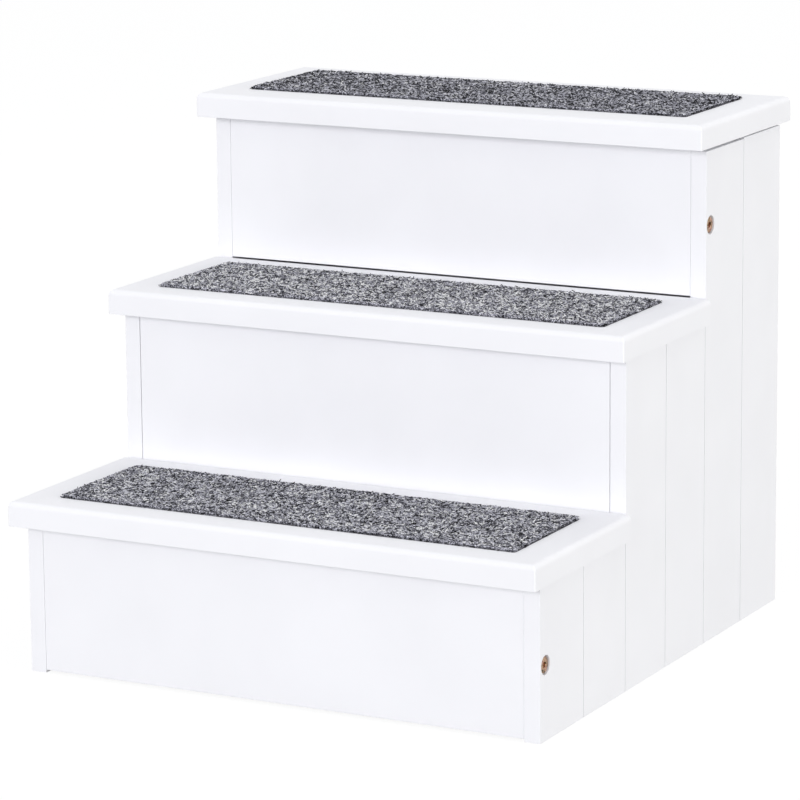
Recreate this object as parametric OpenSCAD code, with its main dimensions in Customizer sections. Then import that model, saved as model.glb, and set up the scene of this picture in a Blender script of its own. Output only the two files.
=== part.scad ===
// Three-step pet stairs with inset carpet pads and a closed back.
// Each side wall is six upright boards, held together by rails on the inside.
// Millimetres. X runs across, Y from the front to the back, Z up from the floor.
// The origin is on the floor, in the middle of the overall footprint.

/* [Steps] */
// Width across the outer faces of the two side walls
wall_span = 400; // [340:1:480]
// Height from one tread top to the next
rise = 127; // [112:1:145]

/* [Side walls] */
// Width of one upright board; each step is two boards deep
board_w = 68; // [60:1:80]
// Thickness of a board
board_t = 12; // [10:0.5:15]
// Bevel along a board's outer edges; two of them make one groove line
board_bevel = 0.5; // [0.3:0.1:2]
// Thickness of the tongue that joins the two boards of one step
tongue_t = 4; // [3:0.5:5]
// How far the tongue reaches into the board behind
tongue_reach = 4; // [2:0.5:6]
// Clearance around the tongue
tongue_gap = 0.1; // [0.05:0.05:0.3]
// Gap between the top of the rearmost board and the top tread
top_gap = 2.7; // [0.5:0.1:5]
// How much lower the board in front of it stops
front_board_drop = 0.8; // [0.2:0.1:2]

/* [Risers] */
// Thickness of a riser
riser_t = 15; // [12:0.5:20]
// How far a riser's face lies behind the front edge of the walls
riser_setback = 1; // [0.5:0.5:4]
// Gap between a riser's end and the wall
riser_end_gap = 0.1; // [0.1:0.1:1]
// Gap under the bottom riser, above the floor
riser_1_lift = 2; // [1:0.1:4]
// Gap under the top riser, above the middle tread
riser_3_lift = 0.9; // [0.3:0.1:3]

/* [Treads] */
// Thickness of a tread
tread_t = 18; // [15:0.5:24]
// How far a tread reaches past each side wall
side_overhang = 5; // [2:0.5:15]
// How far the bottom tread reaches past the wall's front edge
nose_1 = 17.5; // [8:0.5:30]
// How far the middle tread reaches past the wall's front edge
nose_2 = 14.5; // [8:0.5:30]
// How far the top tread reaches past the wall's front edge
nose_3 = 20; // [8:0.5:30]
// How far the top tread reaches past the back of the walls
tail_3 = 8; // [2:0.5:20]
// Gap between a lower tread's back edge and the boards behind it
tread_back_gap = 1; // [0.2:0.1:2]
// Radius along a tread's top edges
edge_r = 4; // [1:0.5:6]
// Radius of a tread's free corners, seen from above
corner_r = 1.5; // [0.5:0.5:8]

/* [Carpet pads] */
// Thickness of a pad, backing and pile together
pad_t = 5; // [3:0.5:10]
// Depth of the recess that a pad lies in
pad_recess = 2; // [1:0.5:4]
// Gap between a pad and the edge of its recess
pad_gap = 1; // [0.5:0.1:2]
// Tread left bare at each side of a pad
pad_side_margin = 27; // [15:1:50]
// Tread left bare in front of a lower pad
pad_front_margin = 25; // [15:1:35]
// Tread left bare behind a lower pad
pad_back_margin = 24; // [10:1:35]
// Tread left bare in front of the top pad
top_pad_front_margin = 33; // [20:1:40]
// Tread left bare behind the top pad
top_pad_back_margin = 27; // [15:1:40]
// Radius of a pad's corners
pad_corner_r = 3; // [1:0.5:6]

/* [Rails] */
// Thickness of a rail, across the stairs
rail_t = 18; // [15:0.5:25]
// Height of a rail
rail_h = 25; // [20:0.5:35]
// Height of the bottom rails above the floor
rail_lift = 8; // [3:1:20]

/* [Back panel] */
// Thickness of the back panel
panel_t = 9; // [6:0.5:12]
// How far the panel lies inside the back edges of the walls
panel_inset = 1; // [0.5:0.5:3]
// Gap at each side of the panel
panel_side_gap = 0.5; // [0.2:0.1:1]
// Gap under the panel, above the floor
panel_lift = 2; // [1:0.5:6]

/* [Connector screws] */
// Diameter of the neck, where it passes the wall
connector_neck_d = 7; // [6:0.1:7.5]
// Diameter of the threaded part in the riser
connector_core_d = 5; // [4:0.1:6]
// How far a connector screw lies below the middle of its riser
connector_drop = 3; // [0:0.5:12]
// Length under the head
connector_l = 50; // [40:1:70]
// Diameter of the head
connector_head_d = 11.5; // [9:0.1:12]
// Thickness of the head
connector_head_h = 2; // [1.5:0.1:3]
// Diameter of the hole that the head is sunk in
connector_sink_d = 13.5; // [12.5:0.1:14]
// Depth of the hole that the head is sunk in
connector_sink = 3; // [2:0.1:4]
// Width of the hexagonal socket, across its corners
connector_socket_d = 4.6; // [3:0.1:6]
// Depth of the hexagonal socket
connector_socket = 1.4; // [0.5:0.1:1.8]

/* [Dowels] */
// Diameter of a dowel
dowel_d = 8; // [6:0.5:9]
// Length of a dowel
dowel_l = 30; // [25:1:40]
// Depth of a dowel in the wall
dowel_in_wall = 9; // [6:0.5:9]
// Distance between the two dowels at a riser's end
dowel_spacing = 64; // [50:1:80]

/* [Wood screws] */
// Diameter of a wood screw
screw_d = 4; // [3:0.1:4.5]
// Diameter of its countersunk head
screw_head_d = 8; // [6:0.1:8.5]
// Length of the screws in the rails and the back panel
screw_l = 25; // [24:1:27]
// Length of the screws that hold the treads
tread_screw_l = 35; // [32:1:38]
// Width of the hexagonal socket, across its corners
screw_socket_d = 3; // [2:0.1:4]
// Depth of the hexagonal socket
screw_socket = 1.2; // [0.5:0.1:2]
// Distance of a tread screw from the middle of its step, as a share of a board's width
tread_screw_share = 0.3; // [0.2:0.02:0.34]

/* [Fits] */
// Radial clearance around a screw or dowel in its hole
fit_gap = 0.05; // [0.02:0.01:0.1]
// Air beyond the end of a screw or dowel in a blind hole
hole_air = 0.5; // [0.2:0.1:1]

/* [Hidden] */
$fn = 64;
// Distance that a cut runs past the face it opens
overrun = 1;
step_count = 3;
boards_per_step = 2;
board_count = step_count * boards_per_step;
sides = ["right", "left"];
rail_names = ["bottom_rail", "lower_rail", "middle_rail", "upper_rail"];
rail_count = len(rail_names);

noses = [nose_1, nose_2, nose_3];
pad_fronts = [pad_front_margin, pad_front_margin, top_pad_front_margin];
pad_backs = [pad_back_margin, pad_back_margin, top_pad_back_margin];

step_depth = boards_per_step * board_w;
wall_depth = step_count * step_depth;
wall_front = (nose_1 - tail_3 - wall_depth) / 2;
wall_back = wall_front + wall_depth;
wall_outer = wall_span / 2;
wall_inner = wall_outer - board_t;
tread_w = wall_span + 2 * side_overhang;
rail_middle = wall_inner - rail_t / 2;
panel_front = wall_back - panel_inset - panel_t;
riser_w = 2 * (wall_inner - riser_end_gap);
panel_w = 2 * (wall_inner - panel_side_gap);
screw_head_h = (screw_head_d - screw_d) / 2;

// Places of the steps, boards and rails, counted from zero
function step_front(s) = wall_front + s * step_depth;
function tread_top(s) = (s + 1) * rise;
function tread_bottom(s) = tread_top(s) - tread_t;
function tread_front(s) = step_front(s) - noses[s];
function tread_back(s) = s == step_count - 1 ? wall_back + tail_3
                                             : step_front(s + 1) - tread_back_gap;
function board_front(i) = wall_front + i * board_w;
function board_step(i) = floor(i / boards_per_step);
function board_top(i) = tread_bottom(board_step(i)) - (board_step(i) < step_count - 1 ? 0
                        : top_gap + (i < board_count - 1 ? front_board_drop : 0));
// The middle riser stands on the lower rails, behind the bottom tread
function riser_bottom(s) = [riser_1_lift, tread_bottom(0), tread_top(1) + riser_3_lift][s];
function riser_middle(s) = (riser_bottom(s) + tread_bottom(s)) / 2;
function riser_front(s) = step_front(s) + riser_setback;
function rail_step(r) = max(r - 1, 0);
function rail_bottom(r) = r == 0 ? rail_lift : tread_bottom(r - 1) - rail_h;
function rail_height_middle(r) = rail_bottom(r) + rail_h / 2;
function rail_front(r) = riser_front(rail_step(r)) + riser_t;
function crosses(r, i) = i >= boards_per_step * rail_step(r);

// Rectangle with its two front corners rounded, and the back ones too if asked
module rounded_plate(w, d, r, round_back) {
    translate([r, 0]) square([w - 2 * r, d]);
    translate([0, r]) square([w, d - (round_back ? 2 : 1) * r]);
    for (x = [r, w - r], y = round_back ? [r, d - r] : [r])
        translate([x, y]) circle(r);
}

// Turns a shape that points along +Z so that it points along +X
module point_across() {
    rotate([0, 90, 0]) children();
}

// Places its children at the right side, or mirrored at the left
module on_side(side) {
    if (side == "right") children();
    else mirror([1, 0, 0]) children();
}

// Countersunk wood screw, its head's face at the origin and its tip along +Z
module wood_screw(length) {
    difference() {
        union() {
            cylinder(h = screw_head_h, d1 = screw_head_d, d2 = screw_d);
            cylinder(h = length - screw_d, d = screw_d);
            translate([0, 0, length - screw_d]) cylinder(h = screw_d, d1 = screw_d, d2 = screw_d / 2);
        }
        translate([0, 0, -overrun]) cylinder(h = screw_socket + overrun, d = screw_socket_d, $fn = 6);
    }
}

// Hole for that screw, open at the head
module wood_screw_hole(length) {
    cylinder(h = screw_head_h + fit_gap, d1 = screw_head_d + 2 * fit_gap, d2 = screw_d);
    cylinder(h = length + hole_air, d = screw_d + 2 * fit_gap);
    translate([0, 0, -overrun]) cylinder(h = overrun, d = screw_head_d + 2 * fit_gap);
}

// Places of the fasteners on the right side, each pointing along its children's +Z
module at_rail_screw(r, i) {
    translate([wall_inner - rail_t, board_front(i) + board_w / 2, rail_height_middle(r)])
        point_across() children();
}

module at_panel_screw(r) {
    translate([rail_middle, wall_back - panel_inset, rail_height_middle(r)])
        rotate([90, 0, 0]) children();
}

module at_tread_screws(s) {
    for (way = [-1, 1])
        translate([rail_middle, step_front(s) + step_depth / 2 + way * tread_screw_share * board_w,
                   tread_bottom(s) - rail_h])
            children();
}

module at_connector(s) {
    translate([wall_outer - connector_sink, riser_front(s) + riser_t / 2,
               riser_middle(s) - connector_drop])
        rotate([0, -90, 0]) children();
}

module at_dowels(s) {
    for (way = [-1, 1])
        translate([wall_inner + dowel_in_wall, riser_front(s) + riser_t / 2,
                   riser_middle(s) + way * dowel_spacing / 2])
            rotate([0, -90, 0]) children();
}

// The bottom and top risers are pulled tight by connector screws
module at_connectors() {
    for (s = [0, step_count - 1]) at_connector(s) children();
}

module dowel_hole() {
    translate([0, 0, -hole_air]) cylinder(h = dowel_l + 2 * hole_air, d = dowel_d + 2 * fit_gap);
}

module connector_hole() {
    neck = board_t - connector_sink + riser_end_gap / 2;
    cylinder(h = neck, d = connector_neck_d + 2 * fit_gap);
    cylinder(h = connector_l + hole_air, d = connector_core_d + 2 * fit_gap);
    translate([0, 0, -connector_sink - overrun])
        cylinder(h = connector_sink + overrun, d = connector_sink_d);
}

// Upright wall boards
module board_plan(with_tongue) {
    difference() {
        square([board_t, board_w]);
        for (y = [0, board_w])
            translate([board_t, y]) rotate(45)
                square(board_bevel * sqrt(2), center = true);
        if (!with_tongue)
            translate([board_t / 2 - tongue_t / 2 - tongue_gap, -overrun])
                square([tongue_t + 2 * tongue_gap, overrun + tongue_reach + tongue_gap]);
    }
    if (with_tongue)
        translate([(board_t - tongue_t) / 2, board_w - overrun])
            square([tongue_t, overrun + tongue_reach]);
}

module wall_board(side, i) {
    starts_step = i % boards_per_step == 0;
    color("#f3f4f6") on_side(side) difference() {
        translate([wall_inner, board_front(i), 0])
            linear_extrude(board_top(i)) board_plan(starts_step);
        for (r = [0 : rail_count - 1])
            if (crosses(r, i)) at_rail_screw(r, i) wood_screw_hole(screw_l);
        if (starts_step) at_dowels(board_step(i)) dowel_hole();
        if (starts_step) at_connectors() connector_hole();
    }
}

// Rails that hold the boards together and carry the treads
module rail(side, r) {
    color("#eff0f2") on_side(side) difference() {
        translate([wall_inner - rail_t, rail_front(r), rail_bottom(r)])
            cube([rail_t, panel_front - rail_front(r), rail_h]);
        for (i = [0 : board_count - 1])
            if (crosses(r, i)) at_rail_screw(r, i) wood_screw_hole(screw_l);
        at_panel_screw(r) wood_screw_hole(screw_l);
        if (r > 0) at_tread_screws(r - 1) wood_screw_hole(tread_screw_l);
    }
}

module riser(s) {
    color("#f5f7f9") difference() {
        translate([-riser_w / 2, riser_front(s), riser_bottom(s)])
            cube([riser_w, riser_t, tread_bottom(s) - riser_bottom(s)]);
        for (side = sides) on_side(side) {
            at_dowels(s) dowel_hole();
            at_connectors() connector_hole();
        }
    }
}

// Treads with rounded top edges and a shallow recess for the pad
module tread_blank(s) {
    depth = tread_back(s) - tread_front(s);
    is_top = s == step_count - 1;
    intersection() {
        linear_extrude(tread_t)
            translate([-tread_w / 2, 0]) rounded_plate(tread_w, depth, corner_r, is_top);
        translate([-tread_w / 2, 0, 0]) rotate([90, 0, 90])
            linear_extrude(tread_w) edge_section(depth, is_top);
        translate([-tread_w / 2, depth, 0]) rotate([90, 0, 0])
            linear_extrude(depth) edge_section(tread_w, true);
    }
}

// Section of a tread with its top front edge rounded, and the far one too if asked
module edge_section(length, round_far) {
    square([length, tread_t - edge_r]);
    translate([edge_r, 0]) square([length - (round_far ? 2 : 1) * edge_r, tread_t]);
    for (x = round_far ? [edge_r, length - edge_r] : [edge_r])
        translate([x, tread_t - edge_r]) circle(edge_r);
}

// Outline of the recess, or of the pad when it is drawn in by the gap
module pad_plan(s, inset) {
    depth = tread_back(s) - tread_front(s) - pad_fronts[s] - pad_backs[s];
    w = tread_w - 2 * pad_side_margin;
    translate([inset - w / 2, tread_front(s) + pad_fronts[s] + inset])
        rounded_plate(w - 2 * inset, depth - 2 * inset, pad_corner_r, true);
}

module tread(s) {
    color("#f6f8fa") difference() {
        translate([0, tread_front(s), tread_bottom(s)]) tread_blank(s);
        translate([0, 0, tread_top(s) - pad_recess])
            linear_extrude(pad_recess + overrun) pad_plan(s, 0);
        for (side = sides) on_side(side) at_tread_screws(s) wood_screw_hole(tread_screw_l);
    }
}

module carpet_pad(s) {
    color("#55565a") translate([0, 0, tread_top(s) - pad_recess])
        linear_extrude(pad_t) pad_plan(s, pad_gap);
}

module back_panel() {
    color("#eceef0") difference() {
        translate([-panel_w / 2, panel_front, panel_lift])
            cube([panel_w, panel_t, tread_bottom(step_count - 1) - panel_lift]);
        for (side = sides, r = [0 : rail_count - 1])
            on_side(side) at_panel_screw(r) wood_screw_hole(screw_l);
    }
}

// Fasteners
module connector_screw() {
    neck = board_t - connector_sink;
    difference() {
        union() {
            translate([0, 0, -connector_head_h]) cylinder(h = connector_head_h, d = connector_head_d);
            cylinder(h = neck, d = connector_neck_d);
            cylinder(h = connector_l, d = connector_core_d);
        }
        translate([0, 0, -connector_head_h - overrun])
            cylinder(h = connector_socket + overrun, d = connector_socket_d, $fn = 6);
    }
}

module connector_screws() {
    color("#c8ac5c") for (side = sides) on_side(side) at_connectors() connector_screw();
}

module riser_dowels() {
    color("#dcc08c") for (side = sides, s = [0 : step_count - 1])
        on_side(side) at_dowels(s) cylinder(h = dowel_l, d = dowel_d);
}

module rail_screws(side) {
    color("#c8ac5c") for (r = [0 : rail_count - 1], i = [0 : board_count - 1])
        if (crosses(r, i)) on_side(side) at_rail_screw(r, i) wood_screw(screw_l);
}

module tread_screws() {
    color("#c8ac5c") for (side = sides, s = [0 : step_count - 1])
        on_side(side) at_tread_screws(s) wood_screw(tread_screw_l);
}

module panel_screws() {
    color("#c8ac5c") for (side = sides, r = [0 : rail_count - 1])
        on_side(side) at_panel_screw(r) wood_screw(screw_l);
}

for (side = sides, i = [0 : board_count - 1])
    wall_board(side, i);
for (side = sides, r = [0 : rail_count - 1])
    rail(side, r);
for (s = [0 : step_count - 1]) {
    riser(s);
    tread(s);
    carpet_pad(s);
}
back_panel();
connector_screws();
riser_dowels();
rail_screws("right");  // right_rail_screws
rail_screws("left");  // left_rail_screws
tread_screws();
panel_screws();
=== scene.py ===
# %% [markdown]
# # Pet stairs with carpet pads
# These are low white stairs for a small pet: board walls, three risers, three treads, and a
# grey carpet pad let into each tread. The measured model comes from CAD, so every size and
# place below is read from it. This lesson builds the pieces that show again, with soft
# painted edges and real pile, and gives the hidden timber and the screws their finishes.

# %% Load the measured model
import math

import bmesh
import bpy
import numpy as np
from mathutils import Matrix, Vector, noise


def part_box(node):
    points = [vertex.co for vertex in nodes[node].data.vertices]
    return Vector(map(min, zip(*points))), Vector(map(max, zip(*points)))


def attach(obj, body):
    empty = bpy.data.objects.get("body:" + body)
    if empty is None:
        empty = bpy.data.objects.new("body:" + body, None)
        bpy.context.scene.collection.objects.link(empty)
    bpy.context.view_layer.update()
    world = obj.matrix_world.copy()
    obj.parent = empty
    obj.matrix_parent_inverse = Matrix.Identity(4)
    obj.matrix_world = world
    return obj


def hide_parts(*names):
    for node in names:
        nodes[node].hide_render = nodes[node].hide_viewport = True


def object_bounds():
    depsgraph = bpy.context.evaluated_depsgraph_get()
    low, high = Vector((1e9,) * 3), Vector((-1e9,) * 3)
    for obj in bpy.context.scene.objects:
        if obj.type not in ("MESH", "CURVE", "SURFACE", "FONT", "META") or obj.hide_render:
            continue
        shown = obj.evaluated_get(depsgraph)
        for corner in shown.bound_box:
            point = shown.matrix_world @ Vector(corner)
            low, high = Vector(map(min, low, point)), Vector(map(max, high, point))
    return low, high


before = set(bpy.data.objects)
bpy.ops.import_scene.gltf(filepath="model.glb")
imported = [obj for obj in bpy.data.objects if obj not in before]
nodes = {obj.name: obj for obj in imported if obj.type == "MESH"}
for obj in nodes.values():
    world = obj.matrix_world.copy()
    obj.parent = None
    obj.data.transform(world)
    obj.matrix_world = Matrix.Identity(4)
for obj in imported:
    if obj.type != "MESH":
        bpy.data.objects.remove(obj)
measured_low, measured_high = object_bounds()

mm = 0.001
sides = {"right": 1, "left": -1}
steps = (1, 2, 3)


def in_mm(lengths):
    """Lengths in millimetres, to a tenth, for the printed lines."""
    return [round(length / mm, 1) for length in lengths]


print(len(nodes), "measured nodes,", in_mm(measured_high - measured_low), "mm over all")

# %% [markdown]
# ## The camera
# The photograph was taken from the front right with a long lens, about twice as high up as
# the top step. Its angles and distance were found by matching corners of the stairs to the
# picture. A small vertical shift of the lens keeps the boards as upright as the picture
# shows them.

# %% Place the camera
camera_turn = math.radians(27.73)
camera_tilt = math.radians(11.48)
camera_roll = math.radians(-0.5)
camera_distance = 2.9176
camera_across = -0.0065
camera_raised = 0.2158
lens_length = 179.77
lens_shift = -0.075

towards = Vector((math.sin(camera_turn) * math.cos(camera_tilt),
                  -math.cos(camera_turn) * math.cos(camera_tilt),
                  math.sin(camera_tilt)))
level = Vector((math.cos(camera_turn), math.sin(camera_turn), 0))
upright = towards.cross(level)
camera_place = towards * camera_distance + level * camera_across + upright * camera_raised
across = level * math.cos(camera_roll) + upright * math.sin(camera_roll)
rotation = Matrix((across, towards.cross(across), towards)).transposed()

bpy.ops.object.camera_add()
camera = bpy.context.object
camera.name = "camera"
camera.matrix_world = Matrix.Translation(camera_place) @ rotation.to_4x4()
camera.data.lens = lens_length
camera.data.shift_y = lens_shift
bpy.context.scene.camera = camera
print("camera at", [round(x, 3) for x in camera_place])

# %% [markdown]
# ## Colours and shader nodes
# Colours are written as the hex values that a paint chart gives, and a shader needs them
# linear. One small function adds a shader node, with its settings and its links, so that a
# material reads as a short list of what makes its surface.

# %% Helpers for materials
def to_linear(hex_colour):
    """An sRGB colour such as #f4f4f6, as the linear values that shaders work in."""
    parts = [int(hex_colour[i:i + 2], 16) / 255 for i in (1, 3, 5)]
    return [c / 12.92 if c <= 0.04045 else ((c + 0.055) / 1.055) ** 2.4 for c in parts] + [1]


def add_node(tree, kind, settings={}, sockets={}, stops=()):
    """Adds a shader node. A socket gets a value, or a link if it is given a node's output."""
    node = tree.nodes.new("ShaderNode" + kind)
    for name, value in settings.items():
        setattr(node, name, value)
    for key, value in sockets.items():
        if isinstance(value, bpy.types.NodeSocket):
            tree.links.new(value, node.inputs[key])
        else:
            node.inputs[key].default_value = value
    for place, (position, hex_colour) in enumerate(stops):
        ramp = node.color_ramp.elements
        stop = ramp[place] if place < len(ramp) else ramp.new(position)
        stop.position = position
        stop.color = to_linear(hex_colour)
    return node


def new_material(name):
    """An empty node material, and its tree."""
    material = bpy.data.materials.new(name)
    material.use_nodes = True
    material.node_tree.nodes.clear()
    return material, material.node_tree


print("white is", to_linear("#ffffff"))

# %% [markdown]
# ## White ground
# The picture has a bright white ground, so the floor is studio paper. Stronger lamps would
# whiten it, but they would burn out the stairs too. So to the camera the paper is nearly
# white by itself, and it keeps a share of the real shading, because the stairs still have
# to cast a soft shadow. For the light that it throws back it is a pale grey, or the bottom
# riser would come out much brighter than the others, which stand over dark carpet.

# %% Tell the rays apart
def seen_ray(tree):
    """Is 1 on a ray that brings a picture: to the camera, or by way of a mirror or glass."""
    ray = add_node(tree, "LightPath")
    seen = ray.outputs["Is Camera Ray"]
    for way in ("Is Glossy Ray", "Is Transmission Ray"):
        both = add_node(tree, "Math", {"operation": "MAXIMUM"}, {0: seen, 1: ray.outputs[way]})
        seen = both.outputs[0]
    return seen


print("the ground looks white in the camera, in a mirror and in glass")

# %% Lay the floor
floor_size = 60
paper_white_share = 0.9
paper_white = 1.02
paper_bounce = "#bfbfbf"
pure_white = "#ffffff"

bpy.ops.mesh.primitive_plane_add(size=floor_size)
floor = bpy.context.object
floor.name = "studio_floor"

paper, tree = new_material("studio_paper")
seen = seen_ray(tree)
share = add_node(tree, "Math", {"operation": "MULTIPLY"}, {0: seen, 1: paper_white_share})
tint = add_node(tree, "ValToRGB", {}, {"Fac": seen}, [(0, paper_bounce), (1, pure_white)])
matt = add_node(tree, "BsdfDiffuse", {}, {"Color": tint.outputs["Color"]})
glow = add_node(tree, "Emission", {}, {"Color": to_linear(pure_white), "Strength": paper_white})
mixed = add_node(tree, "MixShader", {},
                 {"Fac": share.outputs[0], 1: matt.outputs[0], 2: glow.outputs[0]})
add_node(tree, "OutputMaterial", {}, {"Surface": mixed.outputs[0]})
floor.data.materials.append(paper)
print("studio paper,", floor_size, "m wide")

# %% [markdown]
# ## Room and lamps
# All the light is broad: a bright room and four large softboxes, so no shadow is hard. The
# two at the front and the side stand far away, so that all three steps get the same light.
# The front one is the strongest. It hangs just high enough for a nose to cut off its upper
# half from the riser below, which draws the thin shade under each tread. The top one hangs
# behind the stairs, so a rounded nose, which faces up as well as forward, doesn't burn out.
# A weak one at the back keeps that side from going dull.

# %% Light the room
room_strength = 0.66
room_tint = "#fcfdff"

room = bpy.data.worlds.new("bright_room")
room.use_nodes = True
room.node_tree.nodes.clear()
tree = room.node_tree
white = add_node(tree, "Background", {}, {"Color": to_linear(pure_white), "Strength": 1.0})
ambient = add_node(tree, "Background", {},
                   {"Color": to_linear(room_tint), "Strength": room_strength})
mixed = add_node(tree, "MixShader", {},
                 {"Fac": seen_ray(tree), 1: ambient.outputs[0], 2: white.outputs[0]})
add_node(tree, "OutputWorld", {}, {"Surface": mixed.outputs[0]})
bpy.context.scene.world = room
print("room light at", room_strength)

# %% Hang the lamps
def hang_softbox(name, place, aim, width, height, power, tint=pure_white):
    """A wide area lamp at a place, turned to face a point."""
    bpy.ops.object.light_add(type="AREA", location=place)
    lamp = bpy.context.object
    lamp.name = name
    lamp.data.shape = "RECTANGLE"
    lamp.data.size = width
    lamp.data.size_y = height
    lamp.data.energy = power
    lamp.data.color = to_linear(tint)[:3]
    lamp.rotation_euler = (Vector(aim) - Vector(place)).to_track_quat("-Z", "Y").to_euler()


middle = (measured_low + measured_high) / 2
hang_softbox("front_softbox", (-0.6, -6.5, 1.9), middle, width=5.2, height=1.8, power=201,
             tint="#fcfcff")
hang_softbox("side_softbox", (6.5, -0.8, 1.0), middle, width=5.2, height=2.0, power=167,
             tint="#fffefa")
hang_softbox("top_softbox", (0, 1.6, 3.0), middle, width=2.6, height=2.0, power=18)
hang_softbox("back_softbox", (-3.0, 5.8, 1.5), middle, width=4.5, height=1.8, power=12)
bpy.context.scene.view_settings.view_transform = "Standard"
print("four softboxes face", in_mm(middle), "mm")

# %% [markdown]
# ## White paint
# The boards are painted with a satin enamel, put on with a foam roller. That leaves a fine
# stipple, about a millimetre from bump to bump, and a sheen that varies slightly with it.
# The white has a trace of blue, and drifts by a shade over a hand's width. Bumps as flat as
# these would cost millions of faces, so they are a bump map and not part of the shape.

# %% Mix the paint
roller_stipple = 1.2 * mm
stipple_height = 0.05 * mm
paint_drift = 70 * mm
paint_tones = [(0.3, "#f3f3f6"), (0.7, "#f6f6f9")]
satin = (0.6, 0.72)
paint_ior = 1.5

enamel, tree = new_material("white_satin_enamel")
place = add_node(tree, "TexCoord").outputs["Object"]
drift = add_node(tree, "TexNoise", {}, {"Vector": place, "Scale": 1 / paint_drift, "Detail": 2})
white = add_node(tree, "ValToRGB", {}, {"Fac": drift.outputs["Fac"]}, paint_tones)
stipple = add_node(tree, "TexNoise", {},
                   {"Vector": place, "Scale": 1 / roller_stipple, "Detail": 3})
sheen = add_node(tree, "MapRange", {},
                 {"Value": stipple.outputs["Fac"], "To Min": satin[0], "To Max": satin[1]})
relief = add_node(tree, "Bump", {}, {
    "Strength": 0.35, "Distance": stipple_height, "Height": stipple.outputs["Fac"]})
surface = add_node(tree, "BsdfPrincipled", {}, {
    "Base Color": white.outputs["Color"], "Roughness": sheen.outputs["Result"],
    "Normal": relief.outputs["Normal"], "IOR": paint_ior})
add_node(tree, "OutputMaterial", {}, {"Surface": surface.outputs[0]})
print("paint stipple every", roller_stipple / mm, "mm")

# %% [markdown]
# ## Tools of the bench
# Each painted piece starts as a plain block at its measured size. Then it is worked as on a
# bench: edges are planed, grooves and holes are cut by a tool's own shape, and at last every
# sharp edge is eased, because paint never holds on a knife edge. The eased edge is what
# catches the light, so it is real geometry here.

# %% Helpers to take, block out and pick
def take(piece):
    """Makes one piece the only selected and the active one."""
    bpy.ops.object.select_all(action="DESELECT")
    piece.select_set(True)
    bpy.context.view_layer.objects.active = piece


def block(name, low, high):
    """A block between two corners, with its place in its mesh."""
    low, high = Vector(low), Vector(high)
    bpy.ops.object.select_all(action="DESELECT")
    bpy.ops.mesh.primitive_cube_add(size=1, location=(low + high) / 2)
    piece = bpy.context.object
    piece.name = name
    piece.scale = high - low
    bpy.ops.object.transform_apply()
    return piece


def enter_edit(piece, kind):
    """Edit mode on one piece, for its edges or its faces, with nothing selected."""
    take(piece)
    bpy.ops.object.mode_set(mode="EDIT")
    bpy.ops.mesh.select_mode(type=kind)
    bpy.ops.mesh.select_all(action="DESELECT")
    return bmesh.from_edit_mesh(piece.data)


def pick_edges(piece, wanted):
    """Enters edit mode with only those edges selected whose two ends pass the test."""
    for edge in enter_edit(piece, "EDGE").edges:
        edge.select = wanted(edge.verts[0].co, edge.verts[1].co)
    bmesh.update_edit_mesh(piece.data)


def pick_faces(piece, wanted):
    """Enters edit mode with only those faces selected that pass a test of middle and normal."""
    for face in enter_edit(piece, "FACE").faces:
        face.select = wanted(face.calc_center_median(), face.normal)
    bmesh.update_edit_mesh(piece.data)


def leave_edit():
    """Back to object mode."""
    bpy.ops.object.mode_set(mode="OBJECT")


print("a piece can be taken, blocked out and picked over")

# %% Helpers to cut, ease and smooth
sharp_angle = math.radians(30)
smooth_angle = math.radians(40)
flat_weight = 80


def apply_modifier(piece, kind, **settings):
    """Adds a modifier with its settings and applies it at once."""
    take(piece)
    modifier = piece.modifiers.new(kind.lower(), kind)
    for name, value in settings.items():
        setattr(modifier, name, value)
    bpy.ops.object.modifier_apply(modifier=modifier.name)


def cut_away(piece, tool):
    """Cuts a tool's shape out of a piece, and puts the tool away."""
    apply_modifier(piece, "BOOLEAN", operation="DIFFERENCE", object=tool, solver="EXACT")
    bpy.data.objects.remove(tool)


def ease_edges(piece, radius, rounds=2):
    """Rounds every sharp edge a little, as sandpaper and paint do."""
    apply_modifier(piece, "BEVEL", width=radius, segments=rounds, limit_method="ANGLE",
                   angle_limit=sharp_angle)


def smooth_finish(piece):
    """Rounded edges shade round, and the flats beside them stay flat."""
    take(piece)
    bpy.ops.object.shade_smooth_by_angle(angle=smooth_angle)
    apply_modifier(piece, "WEIGHTED_NORMAL", keep_sharp=True, weight=flat_weight)


print("edges over", round(math.degrees(sharp_angle)), "degrees are eased")

# %% Helper to tie a piece to the model
def dress(piece, material, slot, *replaced):
    """Gives a finished piece its material and ties it to the measured model."""
    piece.data.materials.clear()
    piece.data.materials.append(material)
    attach(piece, "root")
    if replaced:
        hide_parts(*replaced)


print("the bench is ready")

# %% [markdown]
# ## Wall boards
# Each side wall is six upright boards with eased edges. Where two boards meet, a joint of
# almost half a millimetre stays open. It shows as a fine grey line, the only ornament of
# the stairs. The front board of each step has a tongue at its back, and its neighbour has
# the groove for it. The other joints are closed by a low lip. Two boards on each side also
# have a sunk hole for the head of a connector screw.
#
# Tongue and lip are pushed out of a strip of the back face. The groove and the hole are cut
# with a shape of their size, because a groove is open at both ends, which an inward push of
# a face would not leave clean. The mouth of the hole flares a little, as a drill leaves it.

# %% Measure the walls
board_count = 6
wall_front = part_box("right_board_1")[0].y
wall_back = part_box("right_board_6")[1].y
wall_inner, wall_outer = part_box("right_board_1")[0].x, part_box("right_board_1")[1].x
wall_middle = (wall_inner + wall_outer) / 2
board_w = (wall_back - wall_front) / board_count
tongue_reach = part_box("right_board_1")[1].y - wall_front - board_w
tongue_t = 4 * mm
tongue_gap = 0.1 * mm
joint = 0.45 * mm
lip_share = 0.9
eased_edge = 0.25 * mm
print("boards are", round(board_w / mm, 2), "mm wide, tongues", round(tongue_reach / mm, 2), "mm")

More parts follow.
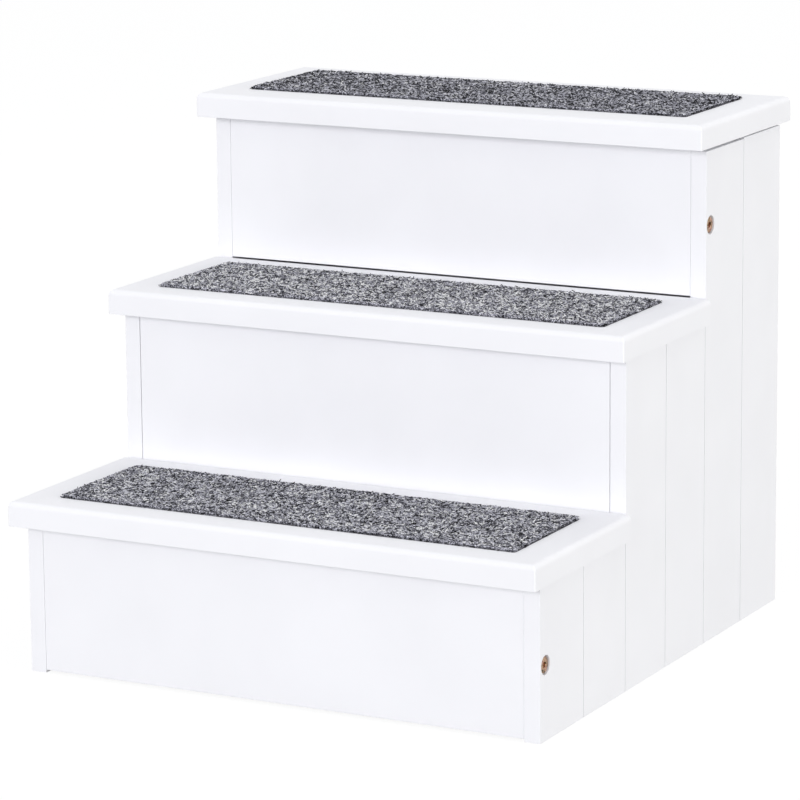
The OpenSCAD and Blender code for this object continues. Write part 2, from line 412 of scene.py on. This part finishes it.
# %% Find the connector screws
screw_mesh = nodes["connector_screws"].data
screw_corners = [v.co for v in screw_mesh.vertices if v.co.x > wall_inner]
screw_split = (measured_low.y + measured_high.y) / 2
low_screw = [c for c in screw_corners if c.y < screw_split]
high_screw = [c for c in screw_corners if c.y > screw_split]
screw_places = []
for group in (low_screw, high_screw):
    y = (min(c.y for c in group) + max(c.y for c in group)) / 2
    z = (min(c.z for c in group) + max(c.z for c in group)) / 2
    screw_places.append((y, z))
print("connector screws at", [in_mm(place) for place in screw_places])

# %% Shape the drill for the sunk holes
sink_d = 13.5 * mm
sink_depth = 3 * mm
sink_flare = 0.25 * mm
overrun = 1 * mm
round_sides = 64
facing = 0.9


def drill_for_head(way, y, z):
    """The shape that a drill takes out of the wall: the sunk hole and its flared mouth."""
    bottom = wall_outer - sink_depth
    bpy.ops.object.select_all(action="DESELECT")
    bpy.ops.mesh.primitive_cylinder_add(vertices=round_sides, radius=sink_d / 2,
                                        depth=sink_depth - sink_flare)
    drill = bpy.context.object
    bpy.ops.object.transform_apply()
    top = (sink_depth - sink_flare) / 2
    pick_faces(drill, lambda middle, normal: normal.z > facing)
    bpy.ops.mesh.extrude_region_move(TRANSFORM_OT_translate={"value": (0, 0, sink_flare)})
    widened = 1 + 2 * sink_flare / sink_d
    bpy.ops.transform.resize(value=(widened, widened, 1), center_override=(0, 0, top + sink_flare))
    bpy.ops.mesh.extrude_region_move(TRANSFORM_OT_translate={"value": (0, 0, overrun)})
    leave_edit()
    drill.data.transform(Matrix.Translation((0, 0, top)))
    lay_down = Matrix.Rotation(way * math.pi / 2, 4, "Y")
    drill.data.transform(Matrix.Translation((way * bottom, y, z)) @ lay_down)
    return drill


print("sunk holes are", round(sink_d / mm, 1), "mm wide and", round(sink_depth / mm, 1), "mm deep")

# %% Saw, join and ease the boards
def push_strip(board, way, reach):
    """Pushes the middle strip of a board's back face out, as a tongue or a lip."""
    centre = way * wall_middle
    enter_edit(board, "FACE")
    for edge in (-1, 1):
        bpy.ops.mesh.select_all(action="SELECT")
        bpy.ops.mesh.bisect(plane_co=(centre + edge * tongue_t / 2, 0, 0), plane_no=(1, 0, 0))
    leave_edit()
    pick_faces(board, lambda middle, normal:
               normal.y > facing and abs(middle.x - centre) < tongue_t / 2)
    bpy.ops.mesh.extrude_region_move(TRANSFORM_OT_translate={"value": (0, reach, 0)})
    leave_edit()


def make_board(side, number):
    """One wall board, with its tongue or groove, and its sunk hole if it has one."""
    way = sides[side]
    node = f"{side}_board_{number}"
    low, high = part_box(node)
    front = wall_front + (number - 1) * board_w
    back = front + board_w
    board = block("painted_" + node, (low.x, front + (number > 1) * joint / 2, low.z),
                  (high.x, back - (number < board_count) * joint / 2, high.z))
    if number % 2:
        push_strip(board, way, tongue_reach + joint / 2)
    ease_edges(board, eased_edge)
    if not number % 2 and number < board_count:
        push_strip(board, way, lip_share * joint)
    if not number % 2:
        half = tongue_t / 2 + tongue_gap
        groove_end = front + tongue_reach + tongue_gap
        cut_away(board, block("groove_cutter",
                              (way * wall_middle - half, front - overrun, low.z - overrun),
                              (way * wall_middle + half, groove_end, high.z + overrun)))
    for y, z in screw_places:
        if front < y < back:
            cut_away(board, drill_for_head(way, y, z))
    smooth_finish(board)
    dress(board, enamel, "painted_wood", node)
    return board


boards = [make_board(side, number) for side in sides for number in range(1, board_count + 1)]
print(len(boards), "boards,", sum(len(b.data.polygons) for b in boards), "faces")

# %% [markdown]
# ## Risers
# A riser is a plain board that closes the front of a step, between the two walls. It stops
# a tenth of a millimetre short of each wall, and the picture shows that as a fine grey
# line. The line beside the middle riser is darker, so that board is cut a little shorter.
# At the other end no line shows, so the fronts are almost level with those of the walls.
# A riser needs only its eased edges, so it is a block whose edges are rounded.

# %% Make the risers
riser_edge = 0.3 * mm
riser_rounds = 3
cut_shorter = {1: 0, 2: 0.3 * mm, 3: 0}
brought_forward = 0.7 * mm

risers = []
for step in steps:
    low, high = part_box(f"riser_{step}")
    riser = block(f"painted_riser_{step}",
                  (low.x + cut_shorter[step], low.y - brought_forward, low.z),
                  (high.x - cut_shorter[step], high.y - brought_forward, high.z))
    ease_edges(riser, riser_edge, riser_rounds)
    smooth_finish(riser)
    dress(riser, enamel, "painted_wood", f"riser_{step}")
    risers.append(riser)
print(len(risers), "risers")

# %% [markdown]
# ## Treads
# The treads reach past the walls with a rounded nose. The top edges are rounded with a
# wide cutter and the upright corners with a narrow one. Both are done in one bevel, with a
# weight on each edge that says how wide it is cut, so the two meet in a clean corner. The
# edge below is only eased, and a shallow recess is routed into the top for the carpet pad.

# %% Make the treads
nose_radius = 4 * mm
nose_rounds = 6
corner_radius = 0.9 * mm
lower_edge = 0.4 * mm
recess_gap = 1 * mm
recess_corner = 3 * mm
recess_rounds = 5


def near(a, b):
    """True if two lengths are the same to a hundredth of a millimetre."""
    return abs(a - b) < 0.01 * mm


def nose_weights(tread, high, is_top):
    """How wide each edge is cut, from 0 to 1. Only the top tread is rounded at its back."""
    weights = []
    for edge in tread.data.edges:
        a, b = (tread.data.vertices[v].co for v in edge.vertices)
        at_back = near(a.y, high.y) and near(b.y, high.y)
        if near(a.z, high.z) and near(b.z, high.z):
            weights.append(0 if at_back and not is_top else 1)
        elif near(a.z, b.z):
            weights.append(0)
        else:
            weights.append(0 if at_back and not is_top else corner_radius / nose_radius)
    return weights


def make_tread(step):
    """One tread with its rounded nose and its recess."""
    low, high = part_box(f"tread_{step}")
    tread = block(f"painted_tread_{step}", low, high)
    weights = nose_weights(tread, high, step == steps[-1])
    edge_weight = tread.data.attributes.new("bevel_weight_edge", "FLOAT", "EDGE")
    edge_weight.data.foreach_set("value", weights)
    apply_modifier(tread, "BEVEL", width=nose_radius, segments=nose_rounds,
                   limit_method="WEIGHT")
    ease_edges(tread, lower_edge)
    pad_low, pad_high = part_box(f"carpet_pad_{step}")
    gap = Vector((recess_gap, recess_gap, 0))
    router = block("recess_cutter", pad_low - gap,
                   (pad_high.x + recess_gap, pad_high.y + recess_gap, high.z + overrun))
    pick_edges(router, lambda a, b: near(a.x, b.x) and near(a.y, b.y))
    bpy.ops.mesh.bevel(offset=recess_corner, segments=recess_rounds)
    leave_edit()
    cut_away(tread, router)
    smooth_finish(tread)
    dress(tread, enamel, "painted_wood", f"tread_{step}")
    return tread


treads = [make_tread(step) for step in steps]
print(len(treads), "treads,", [len(t.data.polygons) for t in treads], "faces")

# %% [markdown]
# ## Back panel
# The back is closed by one thin painted panel between the walls, screwed to the ends of the
# rails. Its eight screws sit flush, so each hole has a countersink: a cone, cut away like
# the holes in the walls.

# %% Make the back panel
panel_edge = 0.6 * mm
panel_screw_head = 8 * mm
panel_screw_shank = 4 * mm
fit_gap = 0.05 * mm
cone_sides = 48
rail_names = ("bottom_rail", "lower_rail", "middle_rail", "upper_rail")
panel_low, panel_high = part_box("back_panel")


def countersink(x, z):
    """The shape that a countersink takes out of the panel: a cone, and the screw's hole."""
    depth = (panel_screw_head - panel_screw_shank) / 2 + fit_gap
    bpy.ops.object.select_all(action="DESELECT")
    bpy.ops.mesh.primitive_cone_add(vertices=cone_sides, depth=depth,
                                    radius1=panel_screw_head / 2 + fit_gap,
                                    radius2=panel_screw_shank / 2)
    sink = bpy.context.object
    through = panel_high.y - panel_low.y
    pick_faces(sink, lambda middle, normal: normal.z < -facing)
    bpy.ops.mesh.extrude_region_move(TRANSFORM_OT_translate={"value": (0, 0, -overrun)})
    leave_edit()
    pick_faces(sink, lambda middle, normal: normal.z > facing)
    bpy.ops.mesh.extrude_region_move(TRANSFORM_OT_translate={"value": (0, 0, through)})
    leave_edit()
    sink.data.transform(Matrix.Translation((0, 0, depth / 2)))
    lay_down = Matrix.Rotation(math.pi / 2, 4, "X")
    sink.data.transform(Matrix.Translation((x, panel_high.y, z)) @ lay_down)
    return sink


panel = block("painted_back_panel", panel_low, panel_high)
ease_edges(panel, panel_edge)
for rail in rail_names:
    for side in sides:
        rail_low, rail_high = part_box(f"{side}_{rail}")
        spot = (rail_low + rail_high) / 2
        cut_away(panel, countersink(spot.x, spot.z))
smooth_finish(panel)
dress(panel, enamel, "painted_wood", "back_panel")
print("back panel", in_mm(panel_high - panel_low), "mm")

# %% [markdown]
# ## Yellow zinc
# The screws are steel with a thin yellow-passivated zinc coat. The coat is only a film, so
# it shows as gold that slips into pink and dark brown from place to place. A clear film
# over steel would be truer, but a metal takes its colour through its base colour, so the
# film is a slow drift of that colour, with the metallic value at one. Fine scratches from
# the rolling of the thread and the head dull it unevenly.

# %% Plate the screws
film_patch = 3.2 * mm
film_tones = [(0.37, "#3d2f18"), (0.43, "#b0956a"), (0.49, "#dcae98"),
              (0.54, "#64393f"), (0.6, "#bfa27a"), (0.66, "#3d2c1a")]
rolling_scratch = 0.35 * mm
scratch_height = 0.02 * mm
zinc_dullness = (0.24, 0.42)

zinc, tree = new_material("yellow_zinc_plating")
place = add_node(tree, "TexCoord").outputs["Object"]
film = add_node(tree, "TexNoise", {}, {
    "Vector": place, "Scale": 1 / film_patch, "Detail": 1.5, "Distortion": 0.8})
gold = add_node(tree, "ValToRGB", {}, {"Fac": film.outputs["Fac"]}, film_tones)
scratch = add_node(tree, "TexNoise", {},
                   {"Vector": place, "Scale": 1 / rolling_scratch, "Detail": 2})
dull = add_node(tree, "MapRange", {}, {
    "Value": scratch.outputs["Fac"], "To Min": zinc_dullness[0], "To Max": zinc_dullness[1]})
relief = add_node(tree, "Bump", {}, {
    "Strength": 0.3, "Distance": scratch_height, "Height": scratch.outputs["Fac"]})
surface = add_node(tree, "BsdfPrincipled", {}, {
    "Base Color": gold.outputs["Color"], "Metallic": 1.0, "Roughness": dull.outputs["Result"],
    "Normal": relief.outputs["Normal"]})
add_node(tree, "OutputMaterial", {}, {"Surface": surface.outputs[0]})

wood_screws = ("right_rail_screws", "left_rail_screws", "tread_screws", "panel_screws")
for name in wood_screws:
    nodes[name].data.materials.clear()
    nodes[name].data.materials.append(zinc)
print("plated:", ", ".join(wood_screws))

# %% [markdown]
# ## Connector screws
# Four thick furniture screws pull the bottom and the top riser against the walls. Only the
# flat heads show, sunk a millimetre below the paint, with a hexagonal socket. One screw is
# turned as on a lathe: the head is a disc with a softened rim, and the neck and the core are
# drawn out of its underside by inset and extrude. Three copies go to the other places.

# %% Turn the connector screws
head_d = 11.5 * mm
head_t = 2 * mm
neck_d = 7 * mm
core_d = 5 * mm
neck_l = 9 * mm
shank_l = 50 * mm
point_l = 3 * mm
point_share = 0.5
socket_d = 4.6 * mm
socket_depth = 1.4 * mm
socket_flare = 0.2 * mm
socket_sides = 6
rim_radius = 0.45 * mm
rim_rounds = 3


def socket_key():
    """The shape of the key that fits the socket, with a flare where it leaves the head."""
    bpy.ops.object.select_all(action="DESELECT")
    bpy.ops.mesh.primitive_cylinder_add(
        vertices=socket_sides, radius=socket_d / 2, depth=socket_depth - socket_flare,
        location=(0, 0, head_t - (socket_depth + socket_flare) / 2))
    key = bpy.context.object
    bpy.ops.object.transform_apply()
    pick_faces(key, lambda middle, normal: normal.z > facing)
    bpy.ops.mesh.extrude_region_move(TRANSFORM_OT_translate={"value": (0, 0, socket_flare)})
    widened = 1 + 2 * socket_flare / socket_d
    bpy.ops.transform.resize(value=(widened, widened, 1), center_override=(0, 0, head_t))
    bpy.ops.mesh.extrude_region_move(TRANSFORM_OT_translate={"value": (0, 0, overrun)})
    leave_edit()
    return key


def make_connector():
    """One screw, its head's underside at the origin and its point along -Z."""
    bpy.ops.object.select_all(action="DESELECT")
    bpy.ops.mesh.primitive_cylinder_add(vertices=round_sides, radius=head_d / 2, depth=head_t,
                                        location=(0, 0, head_t / 2))
    screw = bpy.context.object
    bpy.ops.object.transform_apply()
    pick_edges(screw, lambda a, b: near(a.z, head_t) and near(b.z, head_t))
    bpy.ops.mesh.bevel(offset=rim_radius, segments=rim_rounds)
    leave_edit()
    pick_faces(screw, lambda middle, normal: normal.z < -facing)
    bpy.ops.mesh.inset(thickness=(head_d - neck_d) / 2)
    bpy.ops.mesh.extrude_region_move(TRANSFORM_OT_translate={"value": (0, 0, -neck_l)})
    bpy.ops.mesh.inset(thickness=(neck_d - core_d) / 2)
    core_l = shank_l - neck_l - point_l
    bpy.ops.mesh.extrude_region_move(TRANSFORM_OT_translate={"value": (0, 0, -core_l)})
    bpy.ops.mesh.extrude_region_move(TRANSFORM_OT_translate={"value": (0, 0, -point_l)})
    bpy.ops.transform.resize(value=(point_share, point_share, 1),
                             center_override=(0, 0, -shank_l))
    leave_edit()
    cut_away(screw, socket_key())
    smooth_finish(screw)
    return screw


print("a connector screw is", round(shank_l / mm), "mm long under its head")

# %% Drive the connector screws
pattern = make_connector()
for side, way in sides.items():
    for height, (y, z) in zip(("low", "high"), screw_places):
        screw = pattern.copy()
        screw.data = pattern.data.copy()
        screw.name = f"connector_screw_{side}_{height}"
        bpy.context.scene.collection.objects.link(screw)
        seat = Matrix.Translation((way * (wall_outer - sink_depth), y, z))
        screw.data.transform(seat @ Matrix.Rotation(way * math.pi / 2, 4, "Y"))
        dress(screw, zinc, "plated_steel", "connector_screws")
bpy.data.objects.remove(pattern)
print("4 connector screws, heads", round(head_d / mm, 1), "mm across")

# %% [markdown]
# ## Rails and dowels
# The rails inside are painted like the rest: the gap under the top tread shows pale grey and
# not wood. Their measured solids have the right shape already, with their screw holes, so
# they stay and only get the paint. The dowels are turned beech, pale and even, with short
# dark flecks that run along them. The flecks are noise that is stretched along X, the way
# the dowels lie, because it runs through the wood and needs no unwrapping.

# %% Paint the rails and turn the beech
fleck_length = 5 * mm
fleck_width = 0.5 * mm
beech_tones = [(0.4, "#e2c394"), (0.62, "#c79a63")]

beech, tree = new_material("turned_beech")
place = add_node(tree, "TexCoord").outputs["Object"]
along = add_node(tree, "Mapping", {},
                 {"Vector": place, "Scale": (fleck_width / fleck_length, 1, 1)})
flecks = add_node(tree, "TexNoise", {},
                  {"Vector": along.outputs[0], "Scale": 1 / fleck_width, "Detail": 2})
pale = add_node(tree, "ValToRGB", {}, {"Fac": flecks.outputs["Fac"]}, beech_tones)
surface = add_node(tree, "BsdfPrincipled", {}, {
    "Base Color": pale.outputs["Color"], "Roughness": 0.6, "IOR": 1.5})
add_node(tree, "OutputMaterial", {}, {"Surface": surface.outputs[0]})

finishes = {f"{side}_{rail}": enamel for side in sides for rail in rail_names}
finishes["riser_dowels"] = beech
for name, material in finishes.items():
    nodes[name].data.materials.clear()
    nodes[name].data.materials.append(material)
print("finished:", len(finishes), "nodes")

# %% [markdown]
# ## Carpet material
# The pads are heather grey needle felt: dark, mid and light fibres are mixed before the
# felt is made, so the grey is made of many small tones and not of one. A noise pattern
# alone would blur across the fibres. So each fibre below carries a number for its tone, and
# the material turns that number into a yarn colour. The felt under them hardly shows, and
# there a noise as fine as its clumps will do.

# %% Dye the yarns
yarn_tones = [(0.0, "#0b0b0e"), (0.32, "#4d4d56"), (0.62, "#cfcfda"), (1.0, "#ffffff")]

pile_yarn, tree = new_material("heather_grey_yarn")
tone = add_node(tree, "Attribute", {"attribute_name": "tone"})
grey = add_node(tree, "ValToRGB", {}, {"Fac": tone.outputs["Fac"]}, yarn_tones)
surface = add_node(tree, "BsdfPrincipled", {}, {
    "Base Color": grey.outputs["Color"], "Roughness": 0.85, "Specular IOR Level": 0.2,
    "Sheen Weight": 0.05, "Sheen Roughness": 0.5})
add_node(tree, "OutputMaterial", {}, {"Surface": surface.outputs[0]})
print(len(yarn_tones), "yarn tones")

# %% Mat the felt
felt_clump = 1.1 * mm
clump_height = 0.5 * mm
felt_tones = [(0.38, "#1c1c20"), (0.47, "#63636b"), (0.55, "#a9a9b4"), (0.64, "#eeeef8")]
# Painted shade: the foot of the pad is painted this near black, for the shadow round the foot of
# the pile.
painted_foot_shade = "#141417"

felt, tree = new_material("grey_felt_backing")
place = add_node(tree, "TexCoord").outputs["Object"]
clump = add_node(tree, "TexNoise", {}, {
    "Vector": place, "Scale": 1 / felt_clump, "Detail": 4, "Distortion": 1.0})
grey = add_node(tree, "ValToRGB", {}, {"Fac": clump.outputs["Fac"]}, felt_tones)
rim = add_node(tree, "Attribute", {"attribute_name": "rim"})
grey = add_node(tree, "Mix", {"data_type": "RGBA", "blend_type": "MIX"},
                {0: rim.outputs["Fac"], 6: grey.outputs["Color"], 7: to_linear(painted_foot_shade)})
relief = add_node(tree, "Bump", {}, {
    "Strength": 0.8, "Distance": clump_height, "Height": clump.outputs["Fac"]})
surface = add_node(tree, "BsdfPrincipled", {}, {
    "Base Color": grey.outputs[2], "Roughness": 0.95, "Specular IOR Level": 0.2,
    "Normal": relief.outputs["Normal"]})
add_node(tree, "OutputMaterial", {}, {"Surface": surface.outputs[0]})
print("felt clumps every", round(felt_clump / mm, 1), "mm")

# %% [markdown]
# ## Felt pads
# Under the pile each pad is a slab of matted felt with a lumpy top. A fine grid is raised
# and lowered by two cloud patterns, its four corners are drawn in to an arc, and its rim is
# drawn down and closed below, so the pad is one closed sheet that lies in the recess. A
# plain block would lie too flat where the pile is thin. The corners within a millimetre of
# the bottom carry a mark, and there the felt is painted near black: painted shade for the
# dark line round the foot of the pile.

# %% Press the felt
grid_step = 0.9 * mm
felt_share = 0.8
lumps = {3.5 * mm: 0.9 * mm, 1.1 * mm: 1.0 * mm}
pad_corner = 3 * mm
rim_height = 1 * mm
felt_angle = math.radians(60)


def round_corners(points, low, high, radius):
    """Draws points that lie beyond the corner arcs of a rectangle back onto them."""
    for point in points:
        x = min(max(point.x, low.x + radius), high.x - radius)
        y = min(max(point.y, low.y + radius), high.y - radius)
        out = Vector((point.x - x, point.y - y))
        if out.length > radius:
            out = out.normalized() * radius
            point.x, point.y = x + out.x, y + out.y


def make_felt(step):
    """The felt slab of one pad."""
    low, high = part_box(f"carpet_pad_{step}")
    size = high - low
    top = low.z + size.z * felt_share
    bpy.ops.object.select_all(action="DESELECT")
    bpy.ops.mesh.primitive_grid_add(x_subdivisions=round(size.x / grid_step),
                                    y_subdivisions=round(size.y / grid_step), size=1,
                                    location=((low.x + high.x) / 2, (low.y + high.y) / 2, top))
    pad = bpy.context.object
    pad.name = f"felt_pad_{step}"
    pad.scale = (size.x, size.y, 1)
    bpy.ops.object.transform_apply()
    round_corners([v.co for v in pad.data.vertices], low, high, pad_corner)
    for lump_size, lump_height in lumps.items():
        clouds = bpy.data.textures.new("felt_lumps", "CLOUDS")
        clouds.noise_scale = lump_size
        clouds.noise_depth = 1
        apply_modifier(pad, "DISPLACE", texture=clouds, texture_coords="LOCAL", direction="Z",
                       strength=lump_height, mid_level=0.5)
    enter_edit(pad, "EDGE")
    bpy.ops.mesh.select_non_manifold()
    bpy.ops.mesh.extrude_region_move()
    bpy.ops.transform.resize(value=(1, 1, 0), center_override=(0, 0, low.z))
    bpy.ops.mesh.edge_face_add()
    bpy.ops.mesh.select_all(action="SELECT")
    bpy.ops.mesh.normals_make_consistent(inside=False)
    leave_edit()
    # Corners near the bottom are marked, and the felt material paints them as shade.
    heights = np.array([v.co.z for v in pad.data.vertices])
    pad.data.attributes.new("rim", "FLOAT", "POINT").data.foreach_set(
        "value", (heights < low.z + rim_height).astype(np.float32))
    bpy.ops.object.shade_smooth_by_angle(angle=felt_angle)
    dress(pad, felt, "carpet", f"carpet_pad_{step}")
    return pad


pads = [make_felt(step) for step in steps]
print("felt pads,", [len(p.data.polygons) for p in pads], "faces")

# %% [markdown]
# ## Pile
# What the eye sees is the pile: thousands of short curly fibres that stand and lean every
# way. Two fibres are modelled by spinning a small triangle round a bend, one a plain curl
# and one an S. They are then copied all over the pad, each turned, leaned and sized
# differently, and more of them are set along the rim, where the pad stands above the tread.
# Hair particles would do this faster, but they leave no mesh of their own behind. A real
# hair would be too fine to show, so a fibre is drawn 0.66 mm thick. The pile of a pad is
# made as a front and a back piece, so that neither becomes too heavy.

# %% Bend the two fibres
fibre_radius = 0.33 * mm
bend_radius = 0.8 * mm
curl_bend = math.radians(190)
wave_bend = math.radians(110)


def bend_fibre(bends):
    """Corner places and faces of one fibre. Each bend is an angle and its number of steps."""
    bpy.ops.object.select_all(action="DESELECT")
    bpy.ops.mesh.primitive_circle_add(vertices=3, radius=fibre_radius, fill_type="NGON",
                                      location=(bend_radius, 0, 0), rotation=(math.pi / 2, 0, 0))
    fibre = bpy.context.object
    bpy.ops.object.transform_apply()
    bpy.ops.object.mode_set(mode="EDIT")
    bpy.ops.mesh.select_mode(type="FACE")
    bpy.ops.mesh.select_all(action="SELECT")
    centre, turned, way = Vector((0, 0, 0)), 0, 1
    for angle, count in bends:
        bpy.ops.mesh.spin(steps=count, angle=way * angle, center=centre, axis=(0, 0, 1))
        turned += way * angle
        end = centre + way * bend_radius * Vector((math.cos(turned), math.sin(turned), 0))
        centre, way = end * 2 - centre, -way
    bpy.ops.mesh.select_all(action="SELECT")
    bpy.ops.mesh.remove_doubles(threshold=0.001 * mm)
    bpy.ops.mesh.normals_make_consistent(inside=False)
    leave_edit()
    corners = np.array([v.co for v in fibre.data.vertices])
    faces = [list(p.vertices) for p in fibre.data.polygons]
    bpy.data.objects.remove(fibre)
    return corners - corners.mean(0), faces


curl = bend_fibre([(curl_bend, 4)])
wave = bend_fibre([(wave_bend, 2), (wave_bend, 2)])
print("curl:", len(curl[0]), "corners; wave:", len(wave[0]), "corners")

# %% Helpers to turn and place fibres
def turns(angle, axis):
    """Rotation matrices, one for each angle, about X or Z."""
    c, s, one, nil = np.cos(angle), np.sin(angle), np.ones_like(angle), np.zeros_like(angle)
    about_x = [one, nil, nil, nil, c, -s, nil, s, c]
    about_z = [c, -s, nil, s, c, nil, nil, nil, one]
    return np.stack(about_x if axis == "X" else about_z, 1).reshape(-1, 3, 3)


def rim_places(low, high, inset, share):
    """Places along the rim of a pad, from shares of its whole length."""
    w, d = high.x - low.x - 2 * inset, high.y - low.y - 2 * inset
    run = share * 2 * (w + d)
    stretch = [run < w, run < w + d, run < 2 * w + d]
    x = np.select(stretch, [run, w + 0 * run, 2 * w + d - run], 0)
    y = np.select(stretch, [0 * run, run - w, d + 0 * run], 2 * (w + d) - run)
    return np.stack([low.x + inset + x, low.y + inset + y], 1)


print("fibres turn about X and Z")

# %% Helper to plant one piece of pile
past_gap = 0.7 * recess_gap
over_tread = 0.15 * mm
over_recess = 0.3 * mm


def plant(name, places, poses, tone, is_wave, low, high, tread_top):
    """One piece of pile: a curl or a wave at each place, in its own pose and tone."""
    corners, faces, tones, start = [], [], [], 0
    for shape, chosen in ((curl, ~is_wave), (wave, is_wave)):
        placed = np.einsum("nij,kj->nki", poses[chosen], shape[0]) + places[chosen][:, None, :]
        corners.append(placed.reshape(-1, 3))
        tones.append(np.repeat(tone[chosen], len(shape[0])))
        for _ in range(chosen.sum()):
            faces += [[start + corner for corner in face] for face in shape[1]]
            start += len(shape[0])
    corners = np.concatenate(corners)
    x, y = corners[:, 0], corners[:, 1]
    beyond = np.maximum.reduce([low.x - x, x - high.x, low.y - y, y - high.y])
    lowest = np.where(beyond > past_gap, tread_top + over_tread, low.z + over_recess)
    corners[:, 2] = np.maximum(corners[:, 2], lowest)
    mesh = bpy.data.meshes.new(name)
    mesh.from_pydata(corners.tolist(), [], faces)
    mesh.attributes.new("tone", "FLOAT", "POINT").data.foreach_set(
        "value", np.concatenate(tones).astype(np.float32))
    mesh.shade_smooth()
    piece = bpy.data.objects.new(name, mesh)
    bpy.context.scene.collection.objects.link(piece)
    dress(piece, pile_yarn, "carpet")
    return piece


print("fibres stay", round(over_tread / mm, 2), "mm above the tread")

# %% Strew the fibres
fibres_on_top = 11500
fibres_on_rim = 1700
top_inset = 1.2 * mm
rim_inset = 0.6 * mm
rim_foot = 0.4 * mm
rim_head = 1.6 * mm
fibre_lift = 0.15 * mm
fibre_drop = 0.25 * mm


def strew(dice, low, high, tread_top):
    """The middles of all fibres of one pad: first those on its top, then those on its rim."""
    top_z = low.z + (high.z - low.z) * felt_share + fibre_lift
    middles = np.zeros((fibres_on_top + fibres_on_rim, 3))
    on_top, on_rim = middles[:fibres_on_top], middles[fibres_on_top:]
    on_top[:, 0] = dice.uniform(low.x + top_inset, high.x - top_inset, fibres_on_top)
    on_top[:, 1] = dice.uniform(low.y + top_inset, high.y - top_inset, fibres_on_top)
    on_top[:, 2] = top_z - abs(dice.normal(0, fibre_drop, fibres_on_top))
    on_rim[:, :2] = rim_places(low, high, rim_inset, dice.uniform(0, 1, fibres_on_rim))
    on_rim[:, 2] = dice.uniform(tread_top + rim_foot, high.z - rim_head, fibres_on_rim)
    return middles


print(fibres_on_top + fibres_on_rim, "fibres on each pad")

# %% Grow the pile
most_lean = math.radians(42)
fibre_sizes = (0.75, 1.2)
patch_size = 7 * mm
patch_contrast = 0.42
patch_layer = 17
yarn_spread = 0.32
# Painted light and shade: each pad's fibres are made lighter or darker as a whole, for the
# different light on each step, though the felt is the same on all three.
step_light_shift = {1: -0.04, 2: 0.11, 3: -0.27}
rim_shade = 0.75
wave_share = 0.5


def make_pile(step):
    """The fibres of one pad, as a front and a back piece."""
    low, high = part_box(f"carpet_pad_{step}")
    tread_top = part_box(f"tread_{step}")[1].z
    dice = np.random.default_rng(step)
    middle = strew(dice, low, high, tread_top)
    count = len(middle)
    lean = dice.uniform(0, most_lean, count)
    heading = dice.uniform(0, math.tau, count)
    roll = dice.uniform(0, math.tau, count)
    pose = turns(heading, "Z") @ turns(lean, "X") @ turns(roll, "Z")
    pose *= dice.uniform(*fibre_sizes, count)[:, None, None]
    layer = Vector((0, 0, patch_layer * step))
    patches = np.array([noise.noise(Vector(m) / patch_size + layer) for m in middle])
    tone = dice.beta(yarn_spread, yarn_spread, count) + patch_contrast * patches + step_light_shift[step]
    height = (middle[:, 2] - tread_top) / (high.z - tread_top)
    # Rim fibres are painted darker the lower they sit: painted shade at the foot of the pile.
    tone[fibres_on_top:] -= rim_shade * (1 - height[fibres_on_top:])
    tone = np.clip(tone, 0, 1)
    is_wave = dice.uniform(0, 1, count) < wave_share
    is_front = middle[:, 1] < (low.y + high.y) / 2
    return [plant(f"carpet_pile_{step}_{half}", middle[part], pose[part], tone[part],
                  is_wave[part], low, high, tread_top)
            for half, part in (("front", is_front), ("back", ~is_front))]


piles = [make_pile(step) for step in steps]
print(sum(len(halves) for halves in piles), "pieces of pile")

# %% [markdown]
# ## Sheets
# A pad is a flat sheet that lies loose in its recess, under its own pile. For each pad its
# size and the triangles of its two pieces of pile are printed.

for step, pad, halves, tread in zip(steps, pads, piles, treads):
    low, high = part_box(f"carpet_pad_{step}")
    for pile in halves:
        pile.data.calc_loop_triangles()
    print("pad", step, in_mm(high - low), "mm, pile of",
          [len(pile.data.loop_triangles) for pile in halves], "triangles")

# %% [markdown]
# ## The measured size
# The corners of the measured model are printed, in millimetres.

# %% Print the measured size
print("measured", in_mm((*measured_low, *measured_high)))
